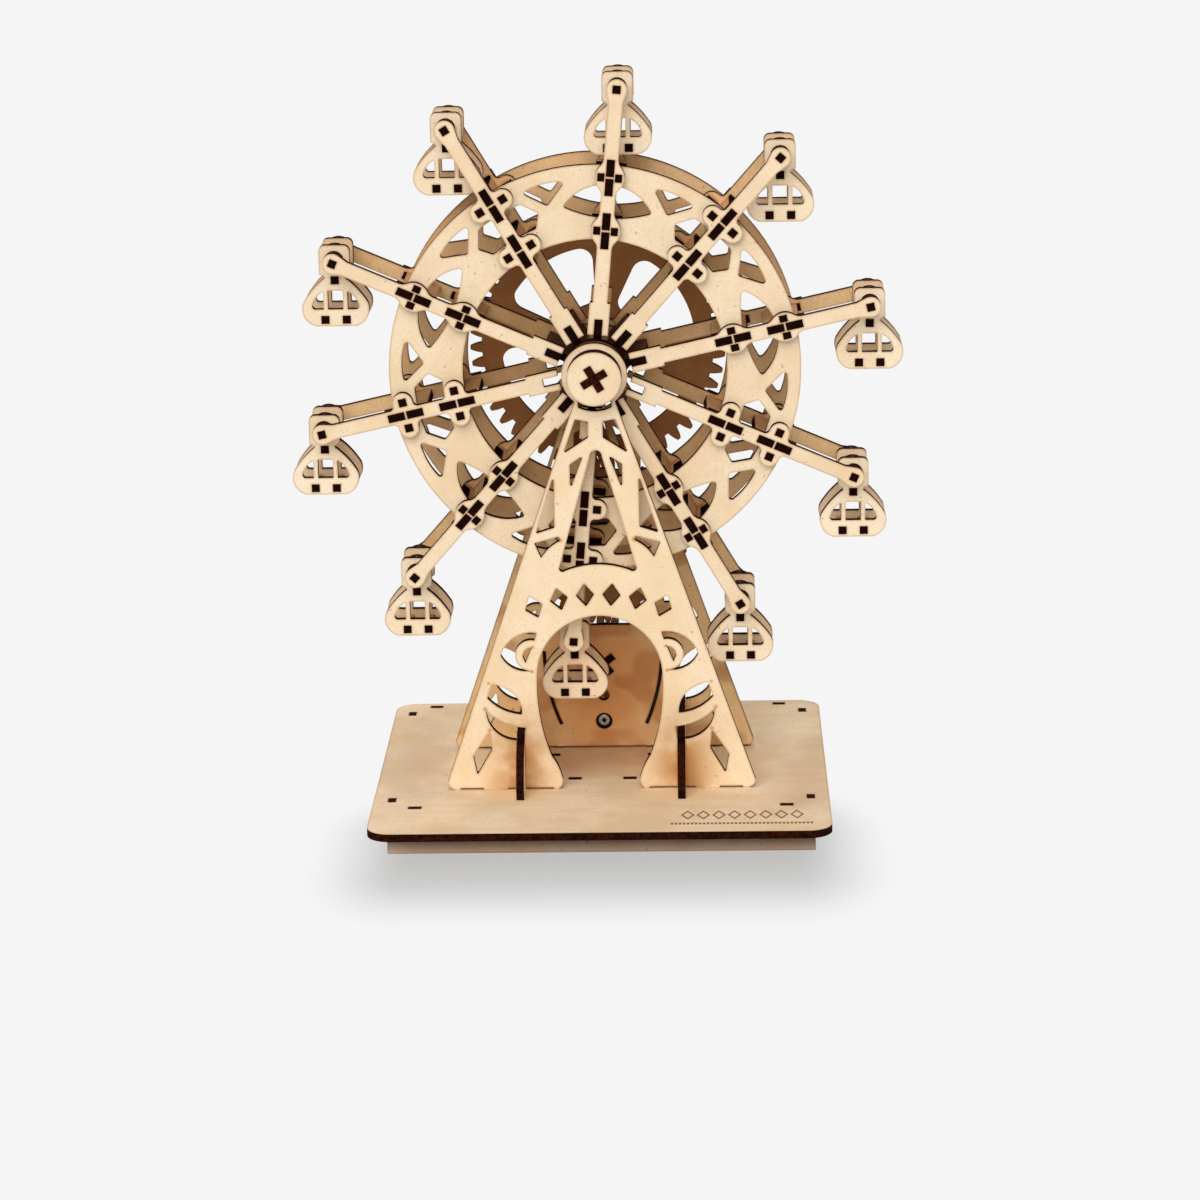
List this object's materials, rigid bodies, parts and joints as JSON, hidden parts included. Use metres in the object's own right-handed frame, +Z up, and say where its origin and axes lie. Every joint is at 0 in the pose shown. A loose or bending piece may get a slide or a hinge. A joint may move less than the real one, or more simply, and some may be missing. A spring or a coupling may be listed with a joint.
{
  "type": "hand cranked ferris wheel toy",
  "caption": "Slotted flat-sheet ferris wheel toy on two pierced towers and a flat base, turned through a rear gear train by a small crank; its gondolas hang upright.",
  "frame": {"origin": "middle of the footprint, on the surface the base stands on", "axes": "+Z up, +Y from the front tower to the rear one, +X to the right as seen from the front"},
  "size_m": [0.2336, 0.166, 0.2927],
  "materials": {
    "sheet_face": "laser cut fibreboard, matt, charred edges",
    "base_sheet": "laser cut plywood, matt",
    "side_sheet": "laser cut fibreboard, matt",
    "skirt_sheet": "laser cut plywood, matt",
    "rear_sheet": "laser cut plywood, matt",
    "strip_sheet": "laser cut fibreboard with charred ends",
    "peg_sheet": "laser cut fibreboard with charred ends",
    "gondola_sheet": "laser cut fibreboard, matt, charred edges",
    "gear_sheet": "laser cut fibreboard, matt, charred edges",
    "steel": "satin"
  },
  "bodies": {
    "stand": {"base_plate": "base_sheet", "base_skirt_front": "skirt_sheet", "base_skirt_rear": "skirt_sheet", "base_skirt_sides": "side_sheet", "base_ribs": "skirt_sheet", "front_tower": "sheet_face", "rear_tower": "rear_sheet", "tie_plate_left": "side_sheet", "tie_plate_right": "side_sheet", "panel_stiffener": "skirt_sheet", "stiffener_screw": "steel", "stiffener_nut": "steel", "idler_axle": "strip_sheet", "idler_stop_discs": "sheet_face", "crank_axle": "strip_sheet", "crank_stop_discs": "sheet_face"},
    "wheel": {"front_arms": "sheet_face", "rear_arms": "sheet_face", "front_rim": "sheet_face", "rear_rim": "sheet_face", "radial_spacers": "strip_sheet", "cross_spacers": "peg_sheet", "front_hub_disc": "sheet_face", "rear_hub_disc": "sheet_face", "hub_plates": "strip_sheet", "axle_strip_a": "strip_sheet", "axle_strip_b": "strip_sheet", "front_retaining_discs": "sheet_face", "rear_retaining_disc": "sheet_face", "axle_spacer_discs": "sheet_face", "drive_gear": "gear_sheet", "gondola_pins": "peg_sheet", "gondola_washers": "sheet_face"},
    "idler": {"idler_gear": "gear_sheet"},
    "crank": {"crank_pinion": "gear_sheet", "crank_spacer_disc": "sheet_face", "crank_arm": "sheet_face", "crank_pegs": "peg_sheet", "crank_pin": "steel"},
    "knob": {"crank_knob": "sheet_face"},
    "gondola_01": {"gondola_01_panels": "gondola_sheet", "gondola_01_bars": "peg_sheet"},
    "gondola_02": {"gondola_02_panels": "gondola_sheet", "gondola_02_bars": "peg_sheet"},
    "gondola_03": {"gondola_03_panels": "gondola_sheet", "gondola_03_bars": "peg_sheet"},
    "gondola_04": {"gondola_04_panels": "gondola_sheet", "gondola_04_bars": "peg_sheet"},
    "gondola_05": {"gondola_05_panels": "gondola_sheet", "gondola_05_bars": "peg_sheet"},
    "gondola_06": {"gondola_06_panels": "gondola_sheet", "gondola_06_bars": "peg_sheet"},
    "gondola_07": {"gondola_07_panels": "gondola_sheet", "gondola_07_bars": "peg_sheet"},
    "gondola_08": {"gondola_08_panels": "gondola_sheet", "gondola_08_bars": "peg_sheet"},
    "gondola_09": {"gondola_09_panels": "gondola_sheet", "gondola_09_bars": "peg_sheet"},
    "gondola_10": {"gondola_10_panels": "gondola_sheet", "gondola_10_bars": "peg_sheet"}
  },
  "joints": [
    {"name": "wheel_spin", "type": "hinge", "parent": "stand", "child": "wheel", "pos_m": [0, -0.005, 0.181], "axis": [0, 1, 0], "continuous": true},
    {"name": "idler_spin", "type": "hinge", "parent": "stand", "child": "idler", "pos_m": [0, 0.032, 0.101], "axis": [0, 1, 0], "continuous": true},
    {"name": "crank_spin", "type": "hinge", "parent": "stand", "child": "crank", "pos_m": [0, 0.035, 0.053], "axis": [0, 1, 0], "continuous": true},
    {"name": "knob_spin", "type": "hinge", "parent": "crank", "child": "knob", "pos_m": [0, 0.045, 0.026], "axis": [0, 1, 0], "continuous": true},
    {"name": "gondola_01_swing", "type": "hinge", "parent": "wheel", "child": "gondola_01", "pos_m": [0.01003, -0.00525, 0.28713], "axis": [0, 1, 0], "continuous": true},
    {"name": "gondola_02_swing", "type": "hinge", "parent": "wheel", "child": "gondola_02", "pos_m": [0.0705, -0.00525, 0.26096], "axis": [0, 1, 0], "continuous": true},
    {"name": "gondola_03_swing", "type": "hinge", "parent": "wheel", "child": "gondola_03", "pos_m": [0.10403, -0.00525, 0.20425], "axis": [0, 1, 0], "continuous": true},
    {"name": "gondola_04_swing", "type": "hinge", "parent": "wheel", "child": "gondola_04", "pos_m": [0.09783, -0.00525, 0.13866], "axis": [0, 1, 0], "continuous": true},
    {"name": "gondola_05_swing", "type": "hinge", "parent": "wheel", "child": "gondola_05", "pos_m": [0.05426, -0.00525, 0.08925], "axis": [0, 1, 0], "continuous": true},
    {"name": "gondola_06_swing", "type": "hinge", "parent": "wheel", "child": "gondola_06", "pos_m": [-0.01003, -0.00525, 0.07487], "axis": [0, 1, 0], "continuous": true},
    {"name": "gondola_07_swing", "type": "hinge", "parent": "wheel", "child": "gondola_07", "pos_m": [-0.0705, -0.00525, 0.10104], "axis": [0, 1, 0], "continuous": true},
    {"name": "gondola_08_swing", "type": "hinge", "parent": "wheel", "child": "gondola_08", "pos_m": [-0.10403, -0.00525, 0.15775], "axis": [0, 1, 0], "continuous": true},
    {"name": "gondola_09_swing", "type": "hinge", "parent": "wheel", "child": "gondola_09", "pos_m": [-0.09783, -0.00525, 0.22334], "axis": [0, 1, 0], "continuous": true},
    {"name": "gondola_10_swing", "type": "hinge", "parent": "wheel", "child": "gondola_10", "pos_m": [-0.05426, -0.00525, 0.27276], "axis": [0, 1, 0], "continuous": true}
  ],
  "couplings": [
    {"joint": "idler_spin", "follows": "wheel_spin", "ratio": -1.5},
    {"joint": "crank_spin", "follows": "wheel_spin", "ratio": 3},
    {"joint": "gondola_01_swing", "follows": "wheel_spin", "ratio": -1},
    {"joint": "gondola_02_swing", "follows": "wheel_spin", "ratio": -1},
    {"joint": "gondola_03_swing", "follows": "wheel_spin", "ratio": -1},
    {"joint": "gondola_04_swing", "follows": "wheel_spin", "ratio": -1},
    {"joint": "gondola_05_swing", "follows": "wheel_spin", "ratio": -1},
    {"joint": "gondola_06_swing", "follows": "wheel_spin", "ratio": -1},
    {"joint": "gondola_07_swing", "follows": "wheel_spin", "ratio": -1},
    {"joint": "gondola_08_swing", "follows": "wheel_spin", "ratio": -1},
    {"joint": "gondola_09_swing", "follows": "wheel_spin", "ratio": -1},
    {"joint": "gondola_10_swing", "follows": "wheel_spin", "ratio": -1}
  ]
}
